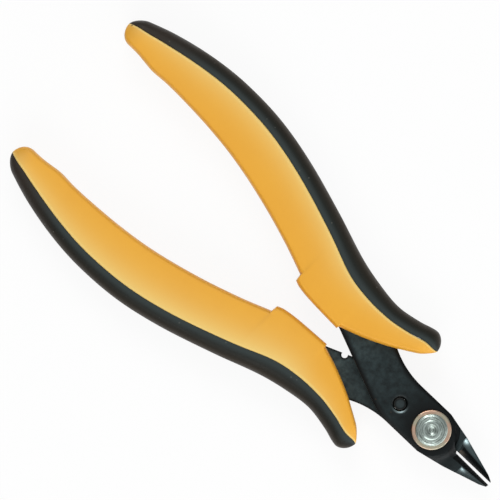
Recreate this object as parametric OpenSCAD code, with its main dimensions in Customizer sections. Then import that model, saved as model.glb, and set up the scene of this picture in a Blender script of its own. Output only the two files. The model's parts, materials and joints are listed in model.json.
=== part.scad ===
// Flush cutter: two stamped blades on one rivet, with two-colour moulded grips.
// +X points to the jaws, +Y to the upper grip and +Z up. The grips rest on z = 0.

/* [Blades] */
// Thickness of each blade plate
plate_t = 2.5; // [2:0.1:3.2]
// Width of each blade beside the pivot
neck_w = 12.1; // [11:0.1:13.5]
// Length of the straight neck behind the pivot
neck_l = 9; // [8:0.5:11]
// Radius of the shoulder from the neck to the outer edge of the tang
shoulder_r = 23; // [19:1:28]
// Radius of the heel from the neck to the inner edge of the front tang
heel_r = 15; // [10:1:20]
// Radius of the same heel on the rear blade
rear_heel_r = 6; // [4:0.5:18]
// Angle of the inner edge of the tang to the centre line, in degrees
tang_angle = 22; // [21:0.5:24]
// Length of the tang behind the pivot
tang_l = 104; // [85:1:108]
// Width of the tang where it enters the grip
tang_w = 6.5; // [5:0.1:7]
// Width of the tang at its end
tang_end_w = 4.2; // [3:0.1:5]
// Depth of the tang below the seam of the grip
tang_inset = 2.1; // [1.5:0.1:3.2]
// Radius of the small notch in the inner edge of the rear blade
notch_r = 0.8; // [0.5:0.1:1.2]
// Distance of that notch behind the pivot
notch_x = 27.6; // [26.5:0.1:30]
// Offset of that notch below the centre line
notch_y = 1.3; // [0.9:0.1:1.8]

/* [Jaws] */
// Reach of the jaw tips ahead of the pivot
jaw_reach = 19.4; // [18:0.1:24]
// Offset of the upper jaw's cutting edge above the centre line at rest
upper_edge_y = 0.57; // [0.5:0.01:0.7]
// Offset of the lower jaw's cutting edge below the centre line at rest, at its tip
lower_edge_y = 0.15; // [0:0.01:0.5]
// Angle of the lower jaw's cutting edge to the centre line at rest, in degrees
lower_edge_turn = 1.1; // [0:0.05:2]
// Radius at the root of the cutting edge
root_r = 2; // [1.2:0.1:2.1]
// Radius of the throat between the jaws, where the other jaw stays clear
throat_r = 5; // [4:0.1:6]
// Distance ahead of the pivot at which a jaw's outer edge turns in
jaw_swell_x = 8; // [7:0.1:9]
// Offset of a jaw's outer edge there
jaw_swell_y = 4.5; // [4.1:0.05:4.8]
// Distance of the bend in the outer edge of a jaw behind its tip
jaw_bend_l = 1.8; // [1.2:0.1:3]
// Offset of a jaw's outer edge at that bend
jaw_bend_y = 1.65; // [1.3:0.05:1.8]
// Offset of a jaw's outer edge at its tip
tip_y = 0.9; // [0.75:0.05:1]
// Width of the ground bevel beside the upper jaw's cutting edge
upper_bevel_w = 1.9; // [1.5:0.05:2.2]
// Width of the same bevel on the lower jaw
lower_bevel_w = 1.45; // [0.9:0.05:1.6]
// Width of the flat left along the ridge between a bevel and its flank
ridge_land = 0.1; // [0.05:0.01:0.3]
// Height of the flat left at a cutting edge
edge_land = 0.12; // [0.05:0.01:0.3]
// Tilt of the outer flank of a jaw, in degrees
flank_angle = 30; // [15:1:40]
// Drop of a jaw's ridge from its start to its tip
ridge_drop = 1.3; // [0.6:0.05:1.5]
// Gap around the pivot end of one blade to the raised jaw of the other
joggle_gap = 1.05; // [0.8:0.05:1.6]
// Length over which that step rises
joggle_l = 0.4; // [0.3:0.1:1.5]
// Gap around the pivot end of a blade to the start of the step down to its jaw
bend_gap = 0.3; // [0.1:0.05:0.8]
// Length over which that step falls
bend_l = 1.9; // [1.2:0.1:3]
// Distance ahead of the pivot at which the lower jaw's flank starts
flank_x = 11.1; // [9.8:0.1:12.5]

/* [Pivot] */
// Diameter of the rivet's shank
pivot_d = 5.5; // [4.5:0.1:6]
// Diameter of the rivet's turned head
head_d = 7.9; // [7:0.1:9]
// Height of the rivet's turned head
head_h = 0.9; // [0.6:0.05:1.4]
// Diameter of the rivet's formed rear end
rear_head_d = 7.4; // [6.6:0.1:9]
// Height of the rivet's formed rear end
rear_head_h = 0.8; // [0.5:0.05:1.2]
// Outer diameter of the washers
washer_d = 9.7; // [9:0.1:10.8]
// Thickness of the washers
washer_t = 0.6; // [0.4:0.05:1]

/* [Stop and spring] */
// Diameter of the stop pin
stop_d = 3; // [2.4:0.1:3.4]
// Distance of the stop pin from the pivot
stop_r = 9.85; // [9.2:0.05:10.5]
// Angle of the stop pin below the centre line, in degrees
stop_angle = 3.8; // [0:0.1:6]
// Turn from rest to the open end of the stop pin's travel, in degrees
open_turn = 3; // [1:0.1:6]
// Wire diameter of the return spring
wire_d = 1; // [0.7:0.05:1.3]
// Radius of the return spring's bend, to the middle of the wire
spring_r = 3.6; // [3.4:0.05:3.9]
// Length of the return spring's legs
spring_l = 12; // [10:0.5:12.5]

/* [Grips] */
// Thickness of the grips
grip_t = 11; // [9:0.5:14]
// Reach of the grips behind the pivot
grip_tail = 120.6; // [114:0.2:130]
// Distance from the pivot back to the nose of the grips
grip_nose = 12; // [10.6:0.2:14]
// Distance of the hump behind the pivot
hump_x = 90; // [84:0.5:96]
// Offset of the hump from the centre line
hump_y = 29.85; // [27:0.05:34]
// Distance of the waist behind the pivot
waist_x = 26; // [24:0.5:29]
// Offset of the waist from the centre line
waist_y = 16.15; // [15:0.05:18]
// Offset of the flared nose from the centre line
nose_y = 18.3; // [17.5:0.1:20]
// Offset of the inner edge from the centre line near the tail
inner_y = 16.5; // [15:0.1:18.5]
// Distance of the step in the inner edge behind the pivot
step_x = 48.8; // [44:0.1:54]
// Offset of the inner edge just behind the step
step_y = 5.35; // [4.8:0.05:6.4]
// Distance behind the pivot at which the blade leaves the grip
lip_x = 33.6; // [32:0.1:36]
// Offset of the inner edge there
lip_y = 2; // [1.8:0.05:3]
// Width of the soft strip at the hump
soft_w = 3.95; // [3:0.05:4.7]
// Depth of the rounding along the inner edge
inner_round = 1.6; // [1:0.1:4.5]
// Length of the rounded tail
tail_round = 3.3; // [2.5:0.1:5]
// Length of the rounded nose
nose_round = 3.4; // [2.5:0.1:4.5]
// Height of the step from the handle down to the soft strip
seam_step = 0.35; // [0.1:0.05:0.8]
// Distance that the lower grip sits further forward on its tang
lower_forward = 1; // [0:0.1:2]
// Distance that the lower grip sits further out on its tang
lower_out = 0.4; // [0:0.1:0.8]

/* [Fits] */
// Gap between the two blades
blade_gap = 0.04; // [0.02:0.01:0.1]
// Running clearance around the rivet's shank
pivot_fit = 0.03; // [0.02:0.005:0.08]
// Clearance of the stop pin in its hole
pin_fit = 0.02; // [0.01:0.005:0.05]
// Clearance of the stop pin in the rear blade at either end of its travel
stop_fit = 0.1; // [0.05:0.01:0.3]
// Clearance of the return spring in its pocket
spring_fit = 0.05; // [0.03:0.01:0.15]
// Clearance of the tang in the handle
tang_fit = 0.04; // [0.02:0.01:0.1]
// Gap between a handle and its soft strip
seam_fit = 0.03; // [0.02:0.01:0.1]
// Clearance of the throat from the step of the other blade
throat_fit = 0.1; // [0.08:0.01:0.2]
// Gap left between the cutting edges of the closed jaws
edge_clear = 0.02; // [0.01:0.01:0.1]

/* [Hidden] */
$fn = 48;

// Places in the working frame, whose origin is the pivot at the blades' parting plane
pivot_x = (grip_tail - jaw_reach) / 2;
pivot_y = lower_out / 2;
pivot_z = grip_t / 2;
lower_at = [lower_forward, lower_out, 0];
neck = neck_w / 2;
jaw_z = plate_t / 2;
joggle_r = neck + joggle_gap;
bend_start = neck + bend_gap;
bend_end = bend_start + bend_l;
jaw_bend_x = jaw_reach - jaw_bend_l;
ridge_slope = ridge_drop / (jaw_reach - bend_end);
tip_cut = 0.25;
past = 1;
outer_ramp = 1.4;
shoulder_turn = 32;
pocket_w = spring_r + wire_d / 2 + spring_fit;
pocket_h = wire_d / 2 + spring_fit;
stop_turn = 180 + stop_angle;
close_turn = asin((upper_edge_y + lower_edge_y - edge_clear) / jaw_reach);
lower_edge = lower_edge_y * cos(lower_edge_turn) - jaw_reach * sin(lower_edge_turn);
pin_sunk = 0.15;
pin_short = 0.3;
chamfer = 0.35;
head_top = plate_t + washer_t + head_h;
rear_end = -plate_t - washer_t - rear_head_h;
tail_mid = inner_y + 4.2;
nose_mid = nose_y - 3.5;
tail_c = -grip_tail + tail_round;
nose_c = -grip_nose - nose_round;
end_width = 0.06;
end_height = 0.45;
end_round = 5;
step_ramp = 0.25;
lip_ramp = 0.15;
ring_power = 0.75;
ring_n = 12;

// Outer edge of the upper grip, tail to nose, before its ends are rounded
outer_edge = [
    [-grip_tail, hump_y - 6.5],
    [-grip_tail + 10, hump_y - 3.1],
    [-hump_x - 10, hump_y - 0.85],
    [-hump_x, hump_y],
    [-hump_x + 12, hump_y - 0.6],
    [-hump_x + 24, hump_y - 3],
    [-hump_x + 38, hump_y - 7.25],
    [-waist_x - 14, waist_y + 2.35],
    [-waist_x - 6, waist_y + 0.6],
    [-waist_x, waist_y],
    [-grip_nose - 8, nose_y - 1.2],
    [-grip_nose - 3.5, nose_y],
    [-grip_nose, nose_y - 0.2]
];
// How much wider than at the hump the soft strip is
strip_swell = [
    [-grip_tail, -1.8],
    [-grip_tail + 6, -0.8],
    [-grip_tail + 14, -0.25],
    [-hump_x, 0],
    [-hump_x + 30, 0.4],
    [-waist_x - 22, 0.7],
    [-waist_x - 14, 1.05],
    [-waist_x - 7, 0.65],
    [-waist_x, -0.1],
    [-grip_nose, 0]
];
// Inner edge of the upper grip from the tail to the step, the step to the lip, and the lip to the nose
inner_rear = [
    [-grip_tail, inner_y + 0.4],
    [-grip_tail + 6.2, inner_y + 0.4],
    [-grip_tail + 11.7, inner_y - 0.2],
    [-grip_tail + 16, inner_y],
    [-hump_x - 10, inner_y - 0.05],
    [-hump_x, inner_y - 0.65],
    [-hump_x + 10, inner_y - 1.95],
    [-hump_x + 22, inner_y - 4.7],
    [-step_x - 8, step_y + 3],
    [-step_x, step_y]
];
inner_middle = [
    [-step_x, lip_y + 1.7],
    [-step_x + 1.8, lip_y + 1],
    [-step_x + 6, lip_y + 0.45],
    [-lip_x, lip_y]
];
inner_front = [
    [-lip_x, lip_y + 0.6],
    [-lip_x + 5.8, lip_y + 2.6],
    [-grip_nose - 10, nose_mid - 7.6],
    [-grip_nose - 6, nose_mid - 5.4],
    [-grip_nose - 2, nose_mid - 3],
    [-grip_nose, nose_mid - 1.6]
];

function mix(a, b, t) = a + (b - a) * t;
function arc(c, r, from, to, n) = [
    for (i = [0 : n]) let (a = mix(from, to, i / n)) [c.x + r * cos(a), c.y + r * sin(a)]
];
function turned(p, a) = [p.x * cos(a) - p.y * sin(a), p.x * sin(a) + p.y * cos(a)];
function soft_power(v) = sign(v) * pow(abs(v), ring_power);

// Smooth curve through points that run along x
function knot_before(pts, x) = max(concat(0, [for (i = [0 : len(pts) - 2]) if (x >= pts[i].x) i]));
function knot_slope(pts, i) =
    let (a = pts[max(i - 1, 0)], b = pts[min(i + 1, len(pts) - 1)]) (b.y - a.y) / (b.x - a.x);
function along(pts, x) =
    let (
        i = knot_before(pts, x),
        a = pts[i],
        b = pts[i + 1],
        w = b.x - a.x,
        t = (x - a.x) / w,
        rise = b.y - a.y,
        s = knot_slope(pts, i) * w,
        e = knot_slope(pts, i + 1) * w
    )
    a.y + t * s + t * t * (3 * rise - 2 * s - e) + t * t * t * (s + e - 2 * rise);

// Plan of the upper grip at a distance x from the pivot, drawn in at its two ends
function end_gap(x) = x < tail_c ? (tail_c - x) / tail_round : x > nose_c ? (x - nose_c) / nose_round : 0;
function end_share(x) = sqrt(max(end_width * end_width, 1 - pow(end_gap(x), 2)));
function end_mid(x) = x < tail_c ? tail_mid : nose_mid;
function drawn_in(x, y) = mix(end_mid(x), y, end_share(x));
function seam_line(x) = along(outer_edge, x) - soft_w - along(strip_swell, x);
function inner_line(x) =
    x <= -step_x ? along(inner_rear, x) : x <= -lip_x ? along(inner_middle, x) : along(inner_front, x);
function outer_at(x) = drawn_in(x, along(outer_edge, x));
function seam_at(x) = drawn_in(x, seam_line(x));
function inner_at(x) = drawn_in(x, inner_line(x));
function half_height(x) =
    let (near = min(x + grip_tail, -grip_nose - x), d = min(near / end_round, 1))
    pivot_z * mix(end_height, 1, sqrt(max(0, 1 - pow(1 - d, 2))));

stations = concat(
    [for (i = [0 : 6]) tail_c - tail_round * cos(15 * i)],
    [for (i = [1 : 14]) mix(tail_c, -step_x, i / 14)],
    [for (i = [0 : 4]) mix(-step_x + step_ramp, -lip_x, i / 4)],
    [for (i = [0 : 7]) mix(-lip_x + lip_ramp, nose_c, i / 7)],
    [for (i = [1 : 6]) nose_c + nose_round * sin(15 * i)]
);

// Sections of the handle and of the soft strip at a station
function handle_ring(x) =
    let (
        inner = inner_at(x),
        seam = seam_at(x),
        h = half_height(x),
        r = min(inner_round, 0.45 * (seam - inner)),
        c = min(seam_step, 0.2 * (seam - inner))
    )
    concat(
        [[x, seam, c - h], [x, seam, h - c], [x, seam - c, h]],
        [
            for (i = [0 : ring_n]) let (a = 90 + 180 * i / ring_n)
                [x, inner + r + r * soft_power(cos(a)), h * soft_power(sin(a))]
        ],
        [[x, seam - c, -h]]
    );
function strip_ring(x) =
    let (seam = seam_at(x) + seam_fit, w = max(outer_at(x) - seam, seam_fit), h = half_height(x) - seam_step)
    [
        for (i = [0 : ring_n]) let (a = -90 + 180 * i / ring_n)
            [x, seam + w * soft_power(cos(a)), h * soft_power(sin(a))]
    ];

// Root of a cutting edge, where its round meets the edge. edge is how far the edge's line passes below the pivot.
function root_x(edge, r = root_r) = sqrt(pow(neck + r, 2) - pow(r - edge, 2));

// Plan of the wider round at the throat, carried down into the blade
function throat_plan(edge) =
    let (
        centre = [root_x(edge, throat_r), throat_r - edge],
        turn = atan2(centre.y, centre.x),
        deep = neck - past
    )
    concat(
        arc(centre, throat_r, 180 + turn, 270, 10),
        [[centre.x, -edge - past], [deep, -edge - past], deep * [cos(turn), sin(turn)]]
    );

// Plan of a blade with its jaw below the centre line, grown outwards by a clearance
function tang_top(x) = seam_line(x) - tang_inset;
function tang_wide(x) = mix(tang_w, tang_end_w, (x + lip_x) / (lip_x - tang_l));
function blade_plan(grow, edge, turn, heel_radius) =
    let (
        root = turned([root_x(edge), root_r - edge], -turn),
        root_turn = atan2(root.y, root.x),
        heel = arc([-neck_l, heel_radius - neck], heel_radius + grow, 270, 270 - tang_angle, 8),
        heel_end = heel[len(heel) - 1],
        line_l = (heel_end.x + lip_x + past) / cos(tang_angle),
        end_x = -tang_l - grow
    )
    concat(
        [for (i = [0 : 12]) let (x = mix(end_x, -lip_x + 4, i / 12)) [x, tang_top(x) + grow]],
        arc([-neck_l, neck + shoulder_r], shoulder_r - grow, 270 - shoulder_turn, 270, 10),
        arc([0, 0], neck + grow, 90, root_turn, 16),
        arc(root, root_r - grow, 180 + root_turn, 270 - turn, 8),
        [
            [jaw_reach, -(edge + jaw_reach * sin(turn)) / cos(turn)],
            [jaw_reach - tip_cut, -tip_y],
            [jaw_bend_x, -jaw_bend_y],
            [jaw_swell_x, -jaw_swell_y],
            [past, -neck - grow]
        ],
        heel,
        [heel_end + line_l * [-cos(tang_angle), sin(tang_angle)]],
        [
            for (i = [0 : 12]) let (x = mix(-lip_x - 4, end_x, i / 12))
                [x, tang_top(x) - tang_wide(x) - grow]
        ]
    );

function front_plan(grow) = blade_plan(grow, lower_edge, lower_edge_turn, heel_r);
function rear_plan(grow) = blade_plan(grow, upper_edge_y, 0, rear_heel_r);

module placed() {
    translate([pivot_x, pivot_y, pivot_z]) children();
}

// Turns a piece of the front half over into the same piece of the rear half
module turned_over() {
    rotate([180, 0, 0]) children();
}

module loft(rings) {
    n = len(rings[0]);
    last = len(rings) - 1;
    faces = concat(
        [[for (j = [0 : n - 1]) j]],
        [
            for (i = [0 : last - 1], j = [0 : n - 1])
                each [
                    [i * n + j, (i + 1) * n + j, i * n + (j + 1) % n],
                    [i * n + (j + 1) % n, (i + 1) * n + j, (i + 1) * n + (j + 1) % n]
                ]
        ],
        [[for (j = [n - 1 : -1 : 0]) last * n + j]]
    );
    polyhedron([for (r = rings) each r], faces);
}

// A side profile in x and z, cut right across the blade
module side_cut(pts) {
    rotate([90, 0, 0]) linear_extrude(4 * neck_w, center = true) polygon(pts);
}

// A section in y and z, cut along the jaw from x0 to past the tip
module along_jaw(x0, pts) {
    translate([x0, 0, 0])
        rotate([90, 0, 90])
            linear_extrude(jaw_reach + past - x0) polygon(pts);
}

// Brings a cut along the jaw down and in, to follow the ridge
module along_ridge(lean) {
    multmatrix([
        [1, 0, 0, 0],
        [-lean * ridge_slope, 1, 0, lean * ridge_slope * bend_end],
        [-ridge_slope, 0, 1, ridge_slope * bend_end],
        [0, 0, 0, 1]
    ])
        children();
}

// How far a bevel leans out for its height
function bevel_lean(bevel_w) = bevel_w / (plate_t - edge_land);

// The ground face beside a cutting edge. side is -1 for the lower jaw and 1 for the upper one.
module edge_bevel(side, edge, bevel_w) {
    start = root_x(edge);
    low = edge_land - jaw_z;
    high = plate_t + past;
    lean = bevel_lean(bevel_w);
    intersection() {
        along_jaw(
            start,
            [
                [side * edge, low],
                [side * (edge + lean * (high - low)), high],
                [-side * past, high],
                [-side * past, low]
            ]
        );
        side_cut([
            [start, high],
            [start + outer_ramp, low],
            [jaw_reach + 2 * past, low],
            [jaw_reach + 2 * past, high]
        ]);
    }
}

// The sloped outer flank of a jaw, which starts at x0 with a ramp
module outer_flank(side, edge, bevel_w, x0) {
    ridge_y = edge + bevel_w + ridge_land;
    wide = neck_w;
    high = plate_t + past;
    fall = wide * tan(flank_angle);
    over_y = ridge_y - past / tan(flank_angle);
    intersection() {
        along_ridge(side * bevel_lean(bevel_w))
            along_jaw(
                x0,
                [
                    [side * over_y, jaw_z + past],
                    [side * (ridge_y + wide), jaw_z - fall],
                    [side * (ridge_y + wide), high],
                    [side * over_y, high]
                ]
            );
        side_cut([
            [x0, high],
            [x0, jaw_z],
            [x0 + outer_ramp, jaw_z - outer_ramp],
            [x0 + outer_ramp, -plate_t],
            [jaw_reach + 2 * past, -plate_t],
            [jaw_reach + 2 * past, high]
        ]);
    }
}

// The step from the outer face of a blade down to its jaw, round about the pivot
module bend_cut() {
    far = 2 * jaw_reach;
    rotate([0, 0, -90])
        rotate_extrude(angle = 180)
            polygon([
                [bend_start, plate_t],
                [bend_end, jaw_z],
                [far, jaw_z],
                [far, plate_t + past],
                [bend_start, plate_t + past]
            ]);
}

// The throat of a blade, inside the cone that the step of the other blade leaves free
module throat(edge) {
    low = blade_gap / 2 + throat_fit;
    reach = joggle_r - throat_fit;
    translate([0, 0, low])
        intersection() {
            linear_extrude(plate_t - low) polygon(throat_plan(edge));
            cylinder(h = plate_t, r1 = reach, r2 = reach + plate_t);
        }
}

// The falling ridge towards the tips
module ridge_cut() {
    side_cut([
        [bend_end, jaw_z],
        [jaw_reach + past, jaw_z - ridge_drop - past * ridge_slope],
        [jaw_reach + past, plate_t + past],
        [bend_end, plate_t + past]
    ]);
}

// The pocket for the return spring, in the face of a blade that meets the other one
module spring_pocket() {
    translate([0, 0, -past]) {
        cylinder(h = pocket_h + past, r = pocket_w);
        translate([-spring_l - spring_fit - wire_d / 2, -pocket_w, 0])
            cube([spring_l + spring_fit + wire_d / 2, 2 * pocket_w, pocket_h + past]);
    }
}

module pivot_bore() {
    cylinder(h = 6 * plate_t, d = pivot_d + 2 * pivot_fit, center = true);
}

module at_stop(turn) {
    rotate([0, 0, turn]) translate([stop_r, 0, 0]) children();
}

// The hole in which the stop pin travels between open and closed
module stop_hole() {
    travel = 2 * stop_r * sin((open_turn + close_turn) / 2);
    at_stop(stop_turn + (close_turn - open_turn) / 2)
        cylinder(h = 6 * plate_t, d = stop_d + 2 * stop_fit + travel, center = true);
}

module front_blade() {
    back = blade_gap / 2;
    color([0.2, 0.23, 0.24])
        placed()
            difference() {
                union() {
                    translate([0, 0, -jaw_z]) linear_extrude(jaw_z + plate_t) polygon(front_plan(0));
                    rotate([0, 0, -lower_edge_turn]) throat(lower_edge);
                }
                translate([-2 * tang_l, -2 * hump_y, back - plate_t])
                    cube([2 * tang_l, 4 * hump_y, plate_t]);
                translate([0, 0, back - jaw_z - joggle_l])
                    cylinder(h = jaw_z + joggle_l, r1 = joggle_r + jaw_z + joggle_l, r2 = joggle_r);
                bend_cut();
                ridge_cut();
                rotate([0, 0, -lower_edge_turn]) {
                    edge_bevel(-1, lower_edge, lower_bevel_w);
                    outer_flank(-1, lower_edge, lower_bevel_w, flank_x);
                }
                pivot_bore();
                translate([0, 0, back]) spring_pocket();
                at_stop(stop_turn) {
                    cylinder(h = 3 * plate_t, d = stop_d + 2 * pin_fit, center = true);
                    translate([0, 0, plate_t - chamfer])
                        cylinder(h = 2 * chamfer, d1 = stop_d, d2 = stop_d + 4 * chamfer);
                }
            }
}

module rear_blade() {
    front = -blade_gap / 2;
    color([0.18, 0.21, 0.22])
        placed()
            difference() {
                union() {
                    translate([0, 0, -plate_t])
                        linear_extrude(jaw_z + plate_t)
                            mirror([0, 1, 0]) polygon(rear_plan(0));
                    turned_over() throat(upper_edge_y);
                }
                translate([-2 * tang_l, -2 * hump_y, front]) cube([2 * tang_l, 4 * hump_y, plate_t]);
                translate([0, 0, front])
                    cylinder(h = jaw_z + joggle_l, r1 = joggle_r, r2 = joggle_r + jaw_z + joggle_l);
                turned_over() bend_cut();
                ridge_cut();
                edge_bevel(1, upper_edge_y, upper_bevel_w);
                outer_flank(1, upper_edge_y, upper_bevel_w, joggle_r + joggle_l);
                pivot_bore();
                translate([0, 0, front]) turned_over() spring_pocket();
                stop_hole();
                translate([-notch_x, -notch_y, -2 * plate_t]) cylinder(h = 3 * plate_t, r = notch_r);
            }
}

module pivot_rivet() {
    groove = 0.18;
    shank = pivot_d / 2;
    color([0.78, 0.78, 0.76])
        placed()
            rotate_extrude()
                polygon([
                    [0, rear_end],
                    [rear_head_d / 2 - chamfer, rear_end],
                    [rear_head_d / 2, rear_end + chamfer],
                    [rear_head_d / 2, -plate_t - washer_t],
                    [shank, -plate_t - washer_t],
                    [shank, plate_t + washer_t],
                    [head_d / 2, plate_t + washer_t],
                    [head_d / 2, head_top - chamfer],
                    [head_d / 2 - chamfer, head_top],
                    [0.71 * head_d / 2, head_top],
                    [0.71 * head_d / 2 - groove, head_top - groove],
                    [0.5 * head_d / 2 + groove, head_top - groove],
                    [0.5 * head_d / 2, head_top],
                    [0.26 * head_d / 2, head_top],
                    [0, head_top - chamfer]
                ]);
}

// A ring with a chamfered rim, lying on z = 0
module washer() {
    inside = pivot_d / 2 + pivot_fit;
    rim = washer_t / 2;
    rotate_extrude()
        polygon([
            [inside, 0],
            [washer_d / 2, 0],
            [washer_d / 2, washer_t - rim],
            [washer_d / 2 - rim, washer_t],
            [inside, washer_t]
        ]);
}

module pivot_washer() {
    color([0.85, 0.6, 0.42]) placed() translate([0, 0, plate_t]) washer();
}

module rear_washer() {
    color([0.85, 0.6, 0.42]) placed() turned_over() translate([0, 0, plate_t]) washer();
}

module stop_pin() {
    color([0.3, 0.32, 0.33])
        placed()
            at_stop(stop_turn)
                translate([0, 0, pin_short - plate_t])
                    cylinder(h = 2 * plate_t - pin_short - pin_sunk, d = stop_d);
}

// The legs lean in by the turn to the open end, which keeps them clear of the other blade's pocket
module return_spring() {
    color([0.6, 0.6, 0.58])
        placed() {
            rotate([0, 0, -90 - open_turn])
                rotate_extrude(angle = 180 + 2 * open_turn) translate([spring_r, 0]) circle(d = wire_d);
            for (side = [-1, 1])
                rotate([0, 0, side * open_turn])
                    translate([0, side * spring_r, 0]) rotate([0, -90, 0]) cylinder(h = spring_l, d = wire_d);
        }
}

// A handle with the slot for its tang, at its place on that tang
module handle(at, tang_plan) {
    difference() {
        translate(at) loft([for (x = stations) handle_ring(x)]);
        translate([0, 0, blade_gap / 2 - tang_fit])
            linear_extrude(plate_t - blade_gap / 2 + 2 * tang_fit) polygon(tang_plan);
    }
}

module soft_strip(at) {
    translate(at) loft([for (x = stations) strip_ring(x)]);
}

module upper_handle() {
    color([0.93, 0.68, 0.24]) placed() handle([0, 0, 0], front_plan(tang_fit));
}

module upper_soft_grip() {
    color([0.13, 0.12, 0.12]) placed() soft_strip([0, 0, 0]);
}

module lower_handle() {
    color([0.93, 0.68, 0.24]) placed() turned_over() handle(lower_at, rear_plan(tang_fit));
}

module lower_soft_grip() {
    color([0.13, 0.12, 0.12]) placed() turned_over() soft_strip(lower_at);
}

front_blade();
rear_blade();
pivot_rivet();
pivot_washer();
rear_washer();
stop_pin();
return_spring();
upper_handle();
upper_soft_grip();
lower_handle();
lower_soft_grip();
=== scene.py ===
import json
import math
from functools import partial

import bmesh
import bpy
import numpy as np
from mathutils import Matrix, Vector
from mathutils.geometry import delaunay_2d_cdt


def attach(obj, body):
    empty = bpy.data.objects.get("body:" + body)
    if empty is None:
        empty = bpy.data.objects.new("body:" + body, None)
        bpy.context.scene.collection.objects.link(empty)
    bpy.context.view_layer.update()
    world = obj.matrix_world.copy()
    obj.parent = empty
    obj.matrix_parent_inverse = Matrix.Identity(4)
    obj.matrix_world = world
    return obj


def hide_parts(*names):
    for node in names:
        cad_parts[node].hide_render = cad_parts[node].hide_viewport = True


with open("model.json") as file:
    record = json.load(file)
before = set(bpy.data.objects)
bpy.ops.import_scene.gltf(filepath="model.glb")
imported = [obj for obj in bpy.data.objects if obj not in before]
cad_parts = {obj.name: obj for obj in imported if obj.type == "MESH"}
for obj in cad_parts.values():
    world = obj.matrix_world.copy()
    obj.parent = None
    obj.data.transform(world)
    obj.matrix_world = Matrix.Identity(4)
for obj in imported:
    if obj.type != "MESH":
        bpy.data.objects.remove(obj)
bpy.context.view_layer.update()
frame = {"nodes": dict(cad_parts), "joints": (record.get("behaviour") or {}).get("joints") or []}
scene = bpy.context.scene
scene.view_settings.view_transform = "Standard"
pivot = Vector(frame["joints"][0]["pos_m"])  # rivet axis, on the plane where the blades meet
mm = 0.001
print("frame loaded:", len(frame["nodes"]), "nodes, pivot at", tuple(round(v, 4) for v in pivot))


# camera, straight down on the flat tool
cameraSetup = {
    "pivotPixel": (431.0, 429.6),
    "pixelsPerMm": 4.13,
    "turn": 43.6,
    "height": 1.2,
    "imageSize": 500,
    "sensor": 36,
}


def makeCamera(setup):
    turn = math.radians(setup["turn"])
    half = setup["imageSize"] / 2
    right = (half - setup["pivotPixel"][0]) / setup["pixelsPerMm"] * mm
    down = (half - setup["pivotPixel"][1]) / setup["pixelsPerMm"] * mm
    data = bpy.data.cameras.new("topCamera")
    data.sensor_width = setup["sensor"]
    data.lens = setup["sensor"] * setup["height"] / (setup["imageSize"] / setup["pixelsPerMm"] * mm)
    data.clip_start = 0.05
    data.clip_end = 20
    camera = bpy.data.objects.new("topCamera", data)
    camera.location = (
        pivot.x + right * math.cos(turn) + down * math.sin(turn),
        pivot.y + right * math.sin(turn) - down * math.cos(turn),
        pivot.z + setup["height"],
    )
    camera.rotation_euler = (0, 0, turn)
    scene.collection.objects.link(camera)
    scene.camera = camera


makeCamera(cameraSetup)
print("camera set")


# small node helpers: nodes are set out in columns of eight, and an input takes a value or a socket;
# nodeFrom puts its node in the tree that the sockets belong to
def addNode(tree, kind, inputs=None, **settings):
    column, row = divmod(len(tree.nodes), 8)
    node = tree.nodes.new(kind)
    node.location = (240 * column - 1900, 300 - 220 * row)
    for key, value in settings.items():
        setattr(node, key, value)
    for key, value in (inputs or {}).items():
        if isinstance(value, bpy.types.NodeSocket):
            tree.links.new(value, node.inputs[key])
        else:
            node.inputs[key].default_value = value
    return node


def nodeFrom(kind, inputs, **settings):
    tree = next(v.id_data for v in inputs.values() if isinstance(v, bpy.types.NodeSocket))
    return addNode(tree, kind, inputs, **settings)


def mathNode(operation, *values, clamp=False):
    inputs = dict(enumerate(values))
    return nodeFrom("ShaderNodeMath", inputs, operation=operation, use_clamp=clamp).outputs[0]


add, subtract, multiply, divide, smaller, larger = (
    partial(mathNode, name) for name in ("ADD", "SUBTRACT", "MULTIPLY", "DIVIDE", "MINIMUM", "MAXIMUM")
)


def mixColor(factor, first, second):
    return nodeFrom("ShaderNodeMix", {"Factor": factor, 6: first, 7: second}, data_type="RGBA").outputs[2]


# lays a colour over the tone by a share of a mask
def tint(tone, mask, share, color):
    return mixColor(multiply(mask, share), tone, color)


def mapRange(value, fromMin, fromMax, toMin, toMax):
    inputs = dict(enumerate((value, fromMin, fromMax, toMin, toMax)))
    return nodeFrom("ShaderNodeMapRange", inputs).outputs[0]


# the same with a span in mm
def mapMm(value, span, toMin, toMax, offset=0.0):
    return mapRange(value, offset + span[0] * mm, offset + span[1] * mm, toMin, toMax)


def colorRamp(value, stops):
    node = nodeFrom("ShaderNodeValToRGB", {"Fac": value})
    elements = node.color_ramp.elements
    while len(elements) < len(stops):
        elements.new(0.5)
    for element, (position, color) in zip(elements, stops):
        element.position = position
        element.color = color
    return node.outputs["Color"]


def combineXyz(x, y, z):
    return nodeFrom("ShaderNodeCombineXYZ", {0: x, 1: y, 2: z}).outputs[0]


def splitXyz(vector):
    return nodeFrom("ShaderNodeSeparateXYZ", {0: vector}).outputs


def newGroup(name, inputs, outputs):
    tree = bpy.data.node_groups.new(name, "ShaderNodeTree")
    tree.interface.new_socket("Vector", in_out="INPUT", socket_type="NodeSocketVector")
    for label, value in inputs.items():
        tree.interface.new_socket(label, in_out="INPUT", socket_type="NodeSocketFloat").default_value = value
    for label in outputs:
        tree.interface.new_socket(label, in_out="OUTPUT", socket_type="NodeSocketFloat")
    return tree, addNode(tree, "NodeGroupInput").outputs, addNode(tree, "NodeGroupOutput").inputs


def noiseOf(vector, scale, inputs):
    inputs = {"Vector": vector, "Scale": scale, **inputs}
    return nodeFrom("ShaderNodeTexNoise", inputs, noise_dimensions="3D").outputs["Fac"]


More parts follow.
